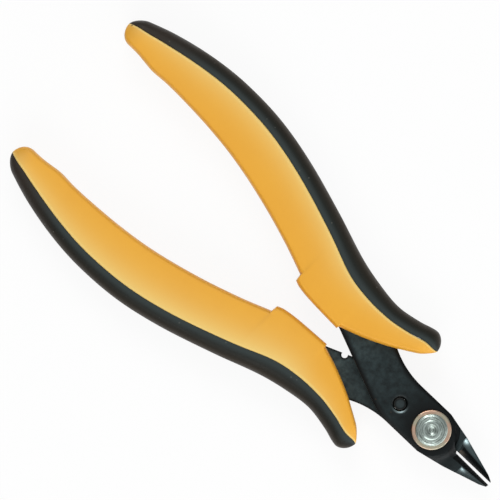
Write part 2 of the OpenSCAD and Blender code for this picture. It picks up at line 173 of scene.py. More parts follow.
# fine moulded or oxide grain: a tight one for bump, a broad one for colour
def makeGrainGroup():
    tree, start, end = newGroup("surfaceGrain", {"Fine scale": 3000.0, "Broad scale": 120.0}, ["Height", "Broad"])
    fine = noiseOf(start["Vector"], start["Fine scale"], {"Detail": 3.0, "Roughness": 0.6})
    broad = noiseOf(start["Vector"], start["Broad scale"], {"Detail": 5.0, "Roughness": 0.62})
    tree.links.new(fine, end["Height"])
    tree.links.new(mapRange(broad, 0.3, 0.7, 0.0, 1.0), end["Broad"])
    return tree


# sparse specks of dust or dirt
def makeSpeckGroup():
    tree, start, end = newGroup("dustSpecks", {"Scale": 300.0, "Spread": 0.1, "Share": 0.2}, ["Mask"])
    cells = nodeFrom("ShaderNodeTexVoronoi", {"Vector": start["Vector"], "Scale": start["Scale"]}, feature="F1")
    split = nodeFrom("ShaderNodeSeparateColor", {0: cells.outputs["Color"]})
    near = mathNode("LESS_THAN", cells.outputs["Distance"], start["Spread"])
    chosen = mathNode("LESS_THAN", split.outputs[0], start["Share"])
    tree.links.new(multiply(near, chosen), end["Mask"])
    return tree


# rubbed edges, broken up by noise
def makeEdgeGroup():
    tree, start, end = newGroup("edgeWear", {"Edge": 0.0, "Scale": 900.0, "Amount": 0.5}, ["Mask"])
    noise = noiseOf(start["Vector"], start["Scale"], {"Detail": 4.0})
    worn = multiply(start["Edge"], mapRange(noise, 0.35, 0.65, 0.0, 1.0))
    tree.links.new(multiply(worn, start["Amount"], clamp=True), end["Mask"])
    return tree


grainGroup = makeGrainGroup()
speckGroup = makeSpeckGroup()
edgeGroup = makeEdgeGroup()


def useGroup(group, vector, values):
    return nodeFrom("ShaderNodeGroup", {"Vector": vector, **values}, node_tree=group).outputs


def useGrain(vector, fine, broad):
    return useGroup(grainGroup, vector, {"Fine scale": fine, "Broad scale": broad})


def useSpecks(vector, scale, spread, share):
    return useGroup(speckGroup, vector, {"Scale": scale, "Spread": spread, "Share": share})


def newMaterial(name):
    material = bpy.data.materials.new(name)
    material.use_nodes = True
    return material, addNode(material.node_tree, "ShaderNodeTexCoord").outputs["Object"]


# colour, a roughness that follows the grain, and a fine bump
def dressShader(finish, tone, grain, height, metal=0.0, specular=0.5):
    tree = tone.id_data
    shader = tree.nodes["Principled BSDF"]
    strength, distance = finish["bump"]
    bump = nodeFrom("ShaderNodeBump", {"Strength": strength, "Distance": distance, "Height": height})
    tree.links.new(tone, shader.inputs["Base Color"])
    tree.links.new(mapRange(grain, 0.0, 1.0, *finish["roughness"]), shader.inputs["Roughness"])
    tree.links.new(bump.outputs["Normal"], shader.inputs["Normal"])
    shader.inputs["Metallic"].default_value = metal
    shader.inputs["Specular IOR Level"].default_value = specular
    return shader


def readAttribute(material, name):
    return addNode(material.node_tree, "ShaderNodeAttribute", attribute_name=name).outputs["Fac"]


# distance from the rivet's axis
def fromPivot(coords):
    inputs = {"Location": (-pivot.x, -pivot.y, 0), "Vector": coords}
    centred = nodeFrom("ShaderNodeMapping", inputs, vector_type="POINT").outputs["Vector"]
    flat = nodeFrom("ShaderNodeVectorMath", {0: centred, 1: (1, 1, 0)}, operation="MULTIPLY").outputs["Vector"]
    return nodeFrom("ShaderNodeVectorMath", {0: flat}, operation="LENGTH").outputs["Value"]


handleFinish = {
    "base": (0.83, 0.400, 0.029, 1),
    "deep": (0.75, 0.332, 0.021, 1),
    "pale": (0.85, 0.585, 0.175, 1),
    "speck": (0.16, 0.090, 0.030, 1),
    "deepShare": 0.35,
    "innerShare": 0.08,
    "speckShare": 0.75,
    "grain": (2600.0, 90.0),  # fine and broad scale
    "specks": (260.0, 0.07, 0.05),  # scale, spread and share
    "roughness": (0.42, 0.56),
    "bump": (0.18, 0.00006),  # strength and distance
}


def makeHandleMaterial(finish):
    material, coords = newMaterial("yellowMouldedPlastic")
    grain = useGrain(coords, *finish["grain"])
    specks = useSpecks(coords, *finish["specks"])
    tone = tint(finish["base"], grain["Broad"], finish["deepShare"], finish["deep"])
    # painted shade: the rounded inner edge is darkened towards the deep orange
    tone = tint(tone, readAttribute(material, "nearInner"), finish["innerShare"], finish["deep"])
    # painted highlight: the face beside the seam is paled
    tone = mixColor(readAttribute(material, "nearSeam"), tone, finish["pale"])
    tone = tint(tone, specks["Mask"], finish["speckShare"], finish["speck"])
    dressShader(finish, tone, grain["Broad"], grain["Height"], specular=0.4)
    return material


softFinish = {
    "tones": [  # from the seam to the outside: a teal painted highlight beside the seam, painted shade across the middle, warm brown-black at the outside
        (0.0, (0.031, 0.041, 0.041, 1)), (0.2, (0.032, 0.042, 0.042, 1)), (0.45, (0.0150, 0.0170, 0.0145, 1)),
        (0.7, (0.0200, 0.0170, 0.0120, 1)), (0.85, (0.0270, 0.0200, 0.0120, 1)), (1.0, (0.0280, 0.0180, 0.0090, 1)),
    ],
    "tail": (0.0320, 0.0240, 0.0185, 1),
    "tailTo": (-62.0, -48.0),
    "tailShare": 0.85,
    "dust": (0.16, 0.16, 0.14, 1),
    "dustShare": 0.35,
    "grain": (1900.0, 160.0),
    "specks": (700.0, 0.13, 0.12),
    "roughness": (0.42, 0.58),
    "bump": (0.3, 0.00012),
}


def makeSoftMaterial(finish):
    material, coords = newMaterial("blackSoftRubber")
    grain = useGrain(coords, *finish["grain"])
    dust = useSpecks(coords, *finish["specks"])
    # painted highlight and painted shade across the strip's rounded section
    tone = colorRamp(readAttribute(material, "nearOuter"), finish["tones"])
    rear = mapMm(splitXyz(coords)["X"], finish["tailTo"], finish["tailShare"], 0.0)
    tone = mixColor(rear, tone, finish["tail"])
    tone = tint(tone, dust["Mask"], finish["dustShare"], finish["dust"])
    dressShader(finish, tone, grain["Broad"], grain["Height"], specular=0.15)
    return material


# spans are in mm from the rivet's axis, facetBelow along y
bladeFinish = {
    "base": (0.0140, 0.0235, 0.0250, 1),
    "pale": (0.0270, 0.0400, 0.0425, 1),
    "dark": (0.0022, 0.0032, 0.0034, 1),
    "ground": (0.420, 0.545, 0.565, 1),
    "facet": (0.085, 0.071, 0.056, 1),
    "facetTo": (9.0, 10.8),
    "facetBelow": (1.3, 1.75),
    "paleTone": (0.062, 0.092, 0.096, 1),
    "worn": (0.060, 0.052, 0.042, 1),
    "rust": (0.050, 0.030, 0.018, 1),
    "rivetShade": (5.0, 13.0),
    "rearPale": (14.0, 34.0),
    "lapPale": (16.0, 32.0),
    "shadeShare": 0.95,
    "rearShare": 0.5,
    "lapShare": (0.1, 1.1),
    "darkShare": 0.75,
    "bandShare": 1.5,
    "rustShare": 0.35,
    "groundMetal": 0.9,
    "edgeFrom": 0.88,
    "wear": {"Scale": 900.0, "Amount": 0.4},
    "grain": (1500.0, 620.0),
    "cloud": (650.0, 190.0),
    "specks": (420.0, 0.12, 0.1),
    "roughness": (0.26, 0.44),
    "bump": (0.16, 0.0001),
}


def makeBladeMaterial(finish):
    material, coords = newMaterial("blackenedSteel")
    grain = useGrain(coords, *finish["grain"])
    cloud = useGrain(coords, *finish["cloud"])
    specks = useSpecks(coords, *finish["specks"])
    band, ground, bevelShade, lap, root = (
        readAttribute(material, name) for name in ("edgeBand", "groundFace", "dimFace", "lapFace", "rootFace")
    )
    edge = mapRange(band, finish["edgeFrom"], 1.0, 0.0, 1.0)
    rub = useGroup(edgeGroup, coords, {"Edge": edge, **finish["wear"]})
    radius = fromPivot(coords)
    # paler towards the rear and on the lapped face, by radius from the rivet
    far = mapMm(radius, finish["rearPale"], 0.0, finish["rearShare"])
    lapPale = multiply(lap, mapMm(radius, finish["lapPale"], *finish["lapShare"]))
    patchy = add(cloud["Broad"], 0.4)
    pale = multiply(add(far, lapPale), patchy, clamp=True)
    tone = mixColor(cloud["Broad"], finish["base"], finish["pale"])
    tone = mixColor(pale, tone, finish["paleTone"])
    tone = tint(tone, grain["Broad"], finish["darkShare"], finish["dark"])
    # painted shade: darker round the rivet, fading out over rivetShade
    shade = multiply(mapMm(radius, finish["rivetShade"], 1.0, 0.0), finish["shadeShare"])
    # painted shade: the rolled band along the outline is darkened; the same band also drives the edge wear above
    paintedShade = larger(multiply(band, finish["bandShare"], clamp=True), shade)
    # painted shade: sloped bevels and walls flagged in the mesh are darkened too
    tone = mixColor(larger(paintedShade, bevelShade), tone, finish["dark"])
    below = mapMm(splitXyz(coords)["Y"], finish["facetBelow"], 1.0, 0.0, pivot.y)
    facet = multiply(below, mapMm(radius, finish["facetTo"], 1.0, 0.0))
    tone = mixColor(multiply(facet, root), tone, finish["facet"])
    tone = mixColor(rub["Mask"], tone, finish["worn"])
    tone = tint(tone, specks["Mask"], finish["rustShare"], finish["rust"])
    # ground steel colour and metal, which also carry the painted highlights on the flanks, the dish and the step
    # walls
    tone = mixColor(ground, tone, finish["ground"])
    shader = dressShader(finish, tone, grain["Broad"], cloud["Height"], specular=0.17)
    material.node_tree.links.new(multiply(ground, finish["groundMetal"]), shader.inputs["Metallic"])
    return material


rivetFinish = {
    "base": (0.455, 0.530, 0.495, 1),
    "shade": (0.185, 0.215, 0.195, 1),
    "ringPitch": 0.52,
    "ringShare": 0.34,
    "wobble": 0.28,
    "blotch": (1.9, 0.05),
    "grain": (2200.0, 900.0),
    "grainHeight": 2.0,
    "tarnishAndShade": [  # radius in mm, share of the shade tone: painted shade in the recessed bands, tarnish towards the centre
        (0.0, 0.6), (0.9, 0.65), (1.15, 0.8), (1.55, 0.8), (1.85, 0.35),
        (2.45, 0.25), (2.7, 0.5), (3.3, 0.5), (3.55, 0.25), (3.95, 0.2),
    ],
    "roughness": (0.26, 0.46),
    "bump": (0.4, 0.000012),
}


def makeRivetMaterial(finish):
    material, coords = newMaterial("turnedSteel")
    radius = fromPivot(coords)
    grain = useGrain(coords, *finish["grain"])
    uneven = add(radius, multiply(grain["Broad"], finish["wobble"] * mm))
    ring = mathNode("SINE", multiply(uneven, 2 * math.pi / (finish["ringPitch"] * mm)))
    reach = finish["tarnishAndShade"][-1][0]
    stops = [(at / reach, (level, level, level, 1)) for at, level in finish["tarnishAndShade"]]
    bands = colorRamp(divide(radius, reach * mm), stops)
    blotch = mathNode("MULTIPLY_ADD", grain["Broad"], *finish["blotch"])
    mask = multiply(mathNode("MULTIPLY_ADD", ring, finish["ringShare"], bands), blotch, clamp=True)
    height = mathNode("MULTIPLY_ADD", grain["Height"], finish["grainHeight"], ring)
    tone = mixColor(mask, finish["base"], finish["shade"])
    dressShader(finish, tone, grain["Broad"], height, metal=1.0)
    return material


washerFinish = {
    "base": (0.74, 0.475, 0.345, 1),
    "dull": (0.47, 0.345, 0.260, 1),
    "pale": (0.47, 0.480, 0.360, 1),
    "paleFrom": (0.44, 0.72, 0.0, 0.75),
    "grain": (2400.0, 350.0),
    "patch": (900.0, 150.0),
    "roughness": (0.26, 0.44),
    "bump": (0.15, 0.00004),
}


def makeWasherMaterial(finish):
    material, coords = newMaterial("coppery")
    grain = useGrain(coords, *finish["grain"])
    patch = useGrain(coords, *finish["patch"])
    tone = mixColor(grain["Broad"], finish["base"], finish["dull"])
    tone = mixColor(mapRange(patch["Broad"], *finish["paleFrom"]), tone, finish["pale"])
    dressShader(finish, tone, grain["Broad"], grain["Height"], metal=1.0)
    return material


springFinish = {
    "base": (0.50, 0.50, 0.48, 1),
    "dull": (0.36, 0.36, 0.34, 1),
    "grain": (2000.0, 300.0),
    "roughness": (0.25, 0.4),
    "bump": (0.1, 0.00003),
}


def makeSpringMaterial(finish):
    material, coords = newMaterial("drawnWire")
    grain = useGrain(coords, *finish["grain"])
    tone = mixColor(grain["Broad"], finish["base"], finish["dull"])
    dressShader(finish, tone, grain["Broad"], grain["Height"], metal=1.0)
    return material


handleMaterial = makeHandleMaterial(handleFinish)
softMaterial = makeSoftMaterial(softFinish)
bladeMaterial = makeBladeMaterial(bladeFinish)
rivetMaterial = makeRivetMaterial(rivetFinish)
washerMaterial = makeWasherMaterial(washerFinish)
springMaterial = makeSpringMaterial(springFinish)
print("materials made")


# pieces
def addPiece(name, mesh, material, body, node):
    if not mesh.materials:
        mesh.materials.append(material)
    piece = bpy.data.objects.new(name, mesh)
    scene.collection.objects.link(piece)
    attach(piece, body)
    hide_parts(node)


def smoothMesh(mesh, sharpAngle):
    mesh.polygons.foreach_set("use_smooth", [True] * len(mesh.polygons))
    mesh.set_sharp_from_angle(angle=math.radians(sharpAngle))


def meshFrom(bm, name, sharpAngle):
    mesh = bpy.data.meshes.new(name)
    bm.to_mesh(mesh)
    bm.free()
    smoothMesh(mesh, sharpAngle)
    return mesh


def bridgeRings(bm, rings, closed=False):
    for first, second in zip(rings, rings[1:] + rings[:1] if closed else rings[1:]):
        for k in range(len(first)):
            n = (k + 1) % len(first)
            corners = list(dict.fromkeys((first[k], first[n], second[n], second[k])))
            if len(corners) > 2:
                bm.faces.new(corners)


def splitLargeFaces(bm):
    bmesh.ops.triangulate(bm, faces=[f for f in bm.faces if len(f.verts) > 4])


def arcPoints(centre, radius, first, last, count):
    turns = np.radians(np.linspace(first, last, count))
    return [(centre[0] + radius * math.cos(t), centre[1] + radius * math.sin(t)) for t in turns]


# a smooth curve y(x) through the given points
def smoothLine(points):
    xs, ys = zip(*points)
    last = len(points) - 1
    ends = [(max(i - 1, 0), min(i + 1, last)) for i in range(last + 1)]
    slopes = [(ys[b] - ys[a]) / (xs[b] - xs[a]) for a, b in ends]

    def at(x):
        i = max(0, min(last - 1, int(np.searchsorted(xs, x)) - 1))
        gap = xs[i + 1] - xs[i]
        t = (x - xs[i]) / gap
        return (
            ys[i] * (1 + 2 * t) * (1 - t) ** 2
            + slopes[i] * gap * t * (1 - t) ** 2
            + ys[i + 1] * t * t * (3 - 2 * t)
            - slopes[i + 1] * gap * t * t * (1 - t)
        )

    return at


# the two grips share one set of curves, in mm from the pivot, the lower one turned over
gripShape = {
    "tail": -120.6,
    "nose": -12.0,
    "half": 5.5,
    "hump": 29.85,
    "waist": 16.15,
    "noseOut": 18.3,
    "inner": 16.5,
    "stepX": -48.8,
    "step": 5.35,
    "stepRun": (0.08, 0.17, 0.25),
    "lipX": -33.6,
    "lip": 2.0,
    "lipRun": (0.07, 0.15),
    "softWide": 3.95,
    "innerRound": 1.6,
    "tailRound": 3.3,
    "noseRound": 3.4,
    "endLow": 0.45,
    "endLong": 5.0,
    "seamStep": 0.35,
    "seamFit": 0.03,
    "crown": 0.3,
    "crownWide": 8,
    "cornerPower": 0.75,
    "innerPower": 0.5,
    "lowerForward": 1.0,
    "lowerOut": 0.4,
    # place along x, strength and reach of the painted highlight band beside the seam
    "upperPale": [(-120, 0.45, 2.4), (-100, 0.75, 3.2), (-45, 0.8, 3.2), (-28, 0.4, 1.8), (-12, 0.3, 1.4)],
    "lowerPale": [
        (-120, 0.7, 3.0), (-95, 0.85, 3.6), (-70, 1.0, 4.4), (-38, 1.0, 4.6), (-30, 0.6, 2.6), (-12, 0.35, 1.6),
    ],
    "paleShare": 0.36,
    "seamPale": 0.6,
    "ringPoints": 61,
}


def gripCurves(s):
    tail, nose, hump, waist, noseOut = s["tail"], s["nose"], s["hump"], s["waist"], s["noseOut"]
    inner, stepX, step, lipX, lip = s["inner"], s["stepX"], s["step"], s["lipX"], s["lip"]
    stepEnd, lipEnd, noseMid = s["stepRun"][-1], s["lipRun"][-1], noseOut - 3.5
    outer = smoothLine([
        (tail, hump - 6.5), (tail + 10, hump - 3.1), (-100, hump - 0.85), (-90, hump), (-78, hump - 0.6),
        (-66, hump - 3), (-52, hump - 7.25), (-40, waist + 2.35), (-32, waist + 0.6), (-26, waist),
        (-20, noseOut - 1.2), (-15.5, noseOut), (nose, noseOut - 0.2),
    ])
    swell = smoothLine([
        (tail, -1.8), (tail + 6, -0.8), (tail + 14, -0.25), (-90, 0), (-60, 0.4), (-48, 0.7),
        (-40, 1.05), (-33, 0.65), (-26, -0.1), (nose, 0),
    ])
    rear = smoothLine([
        (tail, inner + 0.4), (tail + 6.2, inner + 0.4), (tail + 11.7, inner - 0.2), (tail + 16, inner),
        (-100, inner - 0.05), (-90, inner - 0.65), (-80, inner - 1.95), (-68, inner - 4.7),
        (stepX - 8, step + 3), (stepX, step),
    ])
    middle = smoothLine([(stepX, lip + 1.7), (stepX + 1.8, lip + 1), (stepX + 6, lip + 0.45), (lipX, lip)])
    front = smoothLine([
        (lipX, lip + 0.6), (-27.8, lip + 2.6), (-22, noseMid - 7.6), (-18, noseMid - 5.4),
        (-14, noseMid - 3), (nose, noseMid - 1.6),
    ])

    def innerAt(x):
        if x <= stepX:
            return rear(x)
        if x < stepX + stepEnd:
            t = (x - stepX) / stepEnd
            return rear(stepX) * (1 - t) + middle(stepX + stepEnd) * t
        if x <= lipX:
            return middle(x)
        if x < lipX + lipEnd:
            t = (x - lipX) / lipEnd
            return middle(lipX) * (1 - t) + front(lipX + lipEnd) * t
        return front(x)

    return outer, swell, innerAt, inner + 4.2, noseMid


def gripStations(s):
    outer, swell, innerAt, tailMid, noseMid = gripCurves(s)
    tailCentre, noseCentre = s["tail"] + s["tailRound"], s["nose"] - s["noseRound"]
    stepEdge = [s["stepX"] + run for run in s["stepRun"]]
    lipEdge = [s["lipX"] + run for run in s["lipRun"]]
    turns = np.radians(np.linspace(1.5, 90, 18))
    xs = [tailCentre - s["tailRound"] * math.cos(t) for t in turns]
    xs += list(np.linspace(tailCentre, s["stepX"], 90)[1:])
    xs += stepEdge[:-1] + list(np.linspace(stepEdge[-1], s["lipX"], 26))
    xs += lipEdge[:-1] + list(np.linspace(lipEdge[-1], noseCentre, 36))
    xs += [noseCentre + s["noseRound"] * math.cos(t) for t in turns[::-1][1:]]
    stations = []
    for x in xs:
        if x < tailCentre:
            mid, gap = tailMid, (tailCentre - x) / s["tailRound"]
        else:
            mid, gap = noseMid, max(0.0, (x - noseCentre) / s["noseRound"])
        share = math.sqrt(max(0.0, 1 - gap * gap))
        near = min(x - s["tail"], s["nose"] - x, s["endLong"]) / s["endLong"]
        rise = math.sqrt(max(0.0, 1 - (1 - near) ** 2))
        top = outer(x)
        seam = top - s["softWide"] - swell(x)
        stations.append({
            "x": x,
            "outer": mid + (top - mid) * share,
            "seam": mid + (seam - mid) * share,
            "inner": mid + (innerAt(x) - mid) * share,
            "half": s["half"] * (s["endLow"] + (1 - s["endLow"]) * rise),
        })
    return stations


def gripPoint(s, lower, x, y, z):
    if lower:
        x, y, z = x + s["lowerForward"], -(y + s["lowerOut"]), -z
    return pivot + Vector((x, y, z)) * mm


# cross-section of the hard moulding: small corner at the seam, crowned face, rounded inner edge, seam wall
def handleSection(s, station):
    inner, seam, half = station["inner"], station["seam"], station["half"]
    wide = max(seam - inner, 1e-4)
    corner = min(s["seamStep"], 0.2 * wide)
    edge = min(s["innerRound"], 0.45 * wide)
    crown = s["crown"] * min(1.0, wide / s["crownWide"])
    upper = arcPoints((seam - corner, half - corner), corner, 0, 90, 6)
    faceStart, faceEnd = seam - corner, inner + edge
    for t in np.linspace(0, 1, 13)[1:]:
        upper.append((faceStart + (faceEnd - faceStart) * t, half - crown * t * t))
    for u in np.linspace(0, 1, 12)[1:]:
        a = math.radians(90 * (1 - math.cos(math.pi * u / 2)))
        out, rise = abs(math.sin(a)) ** s["innerPower"], abs(math.cos(a)) ** s["innerPower"]
        upper.append((inner + edge - edge * out, (half - crown) * rise))
    under = [(y, -z) for y, z in upper[:-1]][::-1]
    wall = [(seam, z) for z in np.linspace(-(half - corner), half - corner, 7)[1:-1]]
    return upper + under + wall


def makeHandle(name, s, lower, body, node):
    bm = bmesh.new()
    seamHighlightLayer = bm.verts.layers.float.new("nearSeam")
    innerShadeLayer = bm.verts.layers.float.new("nearInner")
    rings = []
    places, strengths, reaches = zip(*s["lowerPale" if lower else "upperPale"])
    for station in gripStations(s):
        x, seam, inner = station["x"], station["seam"], station["inner"]
        strength = np.interp(x, places, strengths)
        reach = max(0.2, min(np.interp(x, places, reaches), s["paleShare"] * (seam - inner)))
        ring = []
        for y, z in handleSection(s, station):
            vert = bm.verts.new(gripPoint(s, lower, x, y, z))
            # the seam's small corner gets a thin painted highlight line
            corner = s["seamPale"] if seam - y < s["seamStep"] + 0.02 else 0.0
            vert[seamHighlightLayer] = min(1.0, strength * math.exp(-((seam - y) / reach) ** 1.2) + corner)
            # share of the painted shade, falling off from the inner edge
            vert[innerShadeLayer] = math.exp(-(y - inner) ** 2)
            ring.append(vert)
        rings.append(ring)
    bridgeRings(bm, rings)
    bm.faces.new(rings[0])
    bm.faces.new(rings[-1][::-1])
    splitLargeFaces(bm)
    bmesh.ops.recalc_face_normals(bm, faces=bm.faces)
    addPiece(name, meshFrom(bm, name, 42), handleMaterial, body, node)


makeHandle("upperHandle", gripShape, False, "front_half", "upper_handle")
makeHandle("lowerHandle", gripShape, True, "rear_half", "lower_handle")
print("handles made")


# node trees for swept, wound and ringed pieces
def newTree(name, inputs):
    tree = bpy.data.node_groups.new(name, "GeometryNodeTree")
    tree.interface.new_socket("Geometry", in_out="OUTPUT", socket_type="NodeSocketGeometry")
    ids = {}
    for label, kind in inputs.items():
        socket = tree.interface.new_socket(label, in_out="INPUT", socket_type="NodeSocket" + kind)
        ids[label] = socket.identifier
    return tree, ids, addNode(tree, "NodeGroupInput").outputs


def closeTree(geometry, material):
    real = nodeFrom("GeometryNodeRealizeInstances", {"Geometry": geometry}).outputs["Geometry"]
    paint = nodeFrom("GeometryNodeSetMaterial", {"Geometry": real, "Material": material})
    nodeFrom("NodeGroupOutput", {"Geometry": paint.outputs["Geometry"]})


def addVectors(first, second):
    return nodeFrom("ShaderNodeVectorMath", {0: first, 1: second}, operation="ADD").outputs[0]


def circleOf(tree, points, radius):
    inputs = {"Resolution": points, "Radius": radius}
    return addNode(tree, "GeometryNodeCurvePrimitiveCircle", inputs, mode="RADIUS").outputs["Curve"]


def sweepCircle(curve, points, radius, capped):
    profile = circleOf(curve.id_data, points, radius)
    inputs = {"Curve": curve, "Profile Curve": profile, "Fill Caps": capped}
    return nodeFrom("GeometryNodeCurveToMesh", inputs).outputs["Mesh"]


def meshFromTree(name, tree, ids, values):
    host = bpy.data.objects.new(name + "Host", bpy.data.meshes.new(name + "Host"))
    modifier = host.modifiers.new(tree.name, "NODES")
    modifier.node_group = tree
    for label, value in values.items():
        modifier[ids[label]] = value
    scene.collection.objects.link(host)
    graph = bpy.context.evaluated_depsgraph_get()
    shown = host.evaluated_get(graph)
    mesh = bpy.data.meshes.new_from_object(shown, preserve_all_data_layers=True, depsgraph=graph)
    mesh.name = name
    host.modifiers.remove(modifier)
    bpy.data.objects.remove(host)
    return mesh


def cleanMesh(mesh, sharpAngle, distance=2e-7):
    bm = bmesh.new()
    bm.from_mesh(mesh)
    bmesh.ops.remove_doubles(bm, verts=bm.verts, dist=distance)
    bmesh.ops.dissolve_degenerate(bm, edges=bm.edges, dist=distance)
    bmesh.ops.recalc_face_normals(bm, faces=bm.faces)
    bm.to_mesh(mesh)
    bm.free()
    smoothMesh(mesh, sharpAngle)


def addLayer(mesh, name, values, kind="FLOAT"):
    field = "vector" if kind == "FLOAT_VECTOR" else "value"
    mesh.attributes.new(name, kind, "POINT").data.foreach_set(field, values)


# soft strip: a D-shaped section swept along the seam, out to the outer edge
def makeStripTree():
    tree, ids, start = newTree("softStripSweep", {
        "Guide": "Object", "Stations": "Int", "Ring points": "Int", "Corner power": "Float", "Material": "Material",
    })
    count = start["Ring points"]
    guide = nodeFrom("GeometryNodeObjectInfo", {"Object": start["Guide"]}).outputs["Geometry"]
    grid = nodeFrom("GeometryNodeMeshGrid", {"Vertices X": start["Stations"], "Vertices Y": count})
    index = addNode(tree, "GeometryNodeInputIndex").outputs[0]
    station = mathNode("FLOOR", divide(index, count))
    place = mathNode("MODULO", index, count)
    around = divide(place, subtract(count, 1))
    # the outside takes most of a ring, and the rest goes down the seam
    arcShare, wallShare = 0.7, 0.15
    arc = smaller(divide(around, arcShare), 1)
    eased = mathNode("COSINE", multiply(arc, math.pi))
    angle = multiply(eased, -math.pi / 2)
    past = subtract(around, arcShare)
    back = larger(divide(past, wallShare), 0)

    def powered(value):
        return mathNode("POWER", mathNode("ABSOLUTE", value), start["Corner power"])

    def guideValue(name, kind):
        read = addNode(tree, "GeometryNodeInputNamedAttribute", {"Name": name}, data_type=kind)
        inputs = {"Geometry": guide, "Value": read.outputs["Attribute"], "Index": station}
        return nodeFrom("GeometryNodeSampleIndex", inputs, data_type=kind, domain="POINT").outputs["Value"]

    out = powered(mathNode("COSINE", angle))
    sine = mathNode("SINE", angle)
    rise = multiply(powered(sine), mathNode("SIGN", sine))
    height = subtract(rise, back)
    inputs = {0: guideValue("reach", "FLOAT_VECTOR"), "Scale": out}
    outward = nodeFrom("ShaderNodeVectorMath", inputs, operation="SCALE").outputs[0]
    upward = combineXyz(0, 0, multiply(guideValue("halfHeight", "FLOAT"), height))
    point = addVectors(addVectors(guideValue("seamPoint", "FLOAT_VECTOR"), outward), upward)
    inputs = {"Geometry": grid.outputs["Mesh"], "Name": "nearOuter", "Value": out}
    store = nodeFrom("GeometryNodeStoreNamedAttribute", inputs, data_type="FLOAT", domain="POINT")
    move = nodeFrom("GeometryNodeSetPosition", {"Geometry": store.outputs["Geometry"], "Position": point})
    closeTree(move.outputs["Geometry"], start["Material"])
    return tree, ids


stripTree, stripIds = makeStripTree()


def makeStrip(name, s, lower, body, node):
    rows = []
    for station in gripStations(s):
        seam = gripPoint(s, lower, station["x"], station["seam"] + s["seamFit"], 0)
        reach = gripPoint(s, lower, station["x"], station["outer"], 0) - seam
        rows.append((seam, reach, (station["half"] - s["seamStep"]) * mm))
    rows = [(rows[0][0], Vector(), 0.0)] + rows + [(rows[-1][0], Vector(), 0.0)]  # a pole closes each end
    seams, reaches, halves = zip(*rows)
    mesh = bpy.data.meshes.new(name + "Guide")
    mesh.from_pydata(seams, [(i, i + 1) for i in range(len(rows) - 1)], [])
    addLayer(mesh, "seamPoint", [v for point in seams for v in point], "FLOAT_VECTOR")
    addLayer(mesh, "reach", [v for reach in reaches for v in reach], "FLOAT_VECTOR")
    addLayer(mesh, "halfHeight", halves)
    guide = bpy.data.objects.new(name + "Guide", mesh)
    scene.collection.objects.link(guide)
    strip = meshFromTree(name, stripTree, stripIds, {
        "Guide": guide, "Stations": len(rows), "Ring points": s["ringPoints"],
        "Corner power": s["cornerPower"], "Material": softMaterial,
    })
    bpy.data.objects.remove(guide)
    cleanMesh(strip, 55)
    addPiece(name, strip, softMaterial, body, node)


makeStrip("upperSoftGrip", gripShape, False, "front_half", "upper_soft_grip")
makeStrip("lowerSoftGrip", gripShape, True, "rear_half", "lower_soft_grip")
print("soft strips swept")


# stamped blades: the solids' own faces, with the punched outline rolled over
bladeShape = {
    "plate": 2.5,
    "lap": 0.02,
    "rollDepth": 0.42,
    "rollWidth": 1.5,
    "lapRollDepth": 0.12,
    "lapRollWidth": 0.6,
    "rollFade": 2.5,
    "facePitch": 0.5,
    "faceRear": -38.0,
    "boreClear": 4.2,
    "stopAt": (-9.83, -0.65),
    "stopClear": 2.6,
    "dishFrom": 1.85,  # the rim of the chamfer round the stop pin
    "dishRings": (1.96, 2.06, 2.17, 2.3, 2.44),
    "dishDepth": 0.17,
    "dishShine": 0.8,  # a painted highlight: a bright crescent on the side that faces the jaws' lower edge
    "dishTurn": 315,
    "stopChamfer": 0.35,
    "stepFrom": 5.0,
    "stepShine": 0.085,
    "groundFrom": 6.5,
    "flankPitch": 0.2,
    "flankFade": 1.2,
    "fillet": 1.4,
    "ridgeFade": 0.5,
    "ridgeDull": 0.35,
}
# the painted highlight where each flank's grinding starts, and how its outer edge is rolled
frontFlank = {
    "at": (11.95, -1.68), "spread": (0.8, 0.42), "spotHighlight": 0.72, "oxide": 0.085, "rollWidth": 1.1, "rollDepth": 0.34,
}
rearFlank = {
    "at": (8.05, 3.85), "spread": (1.05, 0.6), "spotHighlight": 0.95, "oxide": 0.125, "rollWidth": 0.5, "rollDepth": 0.1,
}


def nearest(points, segments):
    if not len(segments):
        return np.full(len(points), 1e3)
    start, run = segments[:, 0], segments[:, 1] - segments[:, 0]
    across = points[:, None] - start
    t = np.clip((across * run).sum(-1) / np.maximum((run * run).sum(-1), 1e-18), 0, 1)
    return np.linalg.norm(across - run * t[..., None], axis=-1).min(1)


def insideBorder(points, segments):
    x, y = points[:, :1], points[:, 1:]
    (ax, ay), (bx, by) = segments[:, 0].T, segments[:, 1].T
    rise = np.where(by == ay, 1e-12, by - ay)
    return (((ay > y) != (by > y)) & (x < (bx - ax) * (y - ay) / rise + ax)).sum(1) % 2 == 1


def borderOf(faces):
    chosen = set(faces)
    edges = dict.fromkeys(e for f in faces for e in f.edges)
    edges = [e for e in edges if sum(f in chosen for f in e.link_faces) == 1]
    return edges, [next((f for f in e.link_faces if f not in chosen), None) for e in edges]


def flatPoint(vert):
    return ((vert.co.x - pivot.x) / mm, (vert.co.y - pivot.y) / mm)


def fromStop(s, x, y):
    return math.hypot(x - s["stopAt"][0], y - s["stopAt"][1])


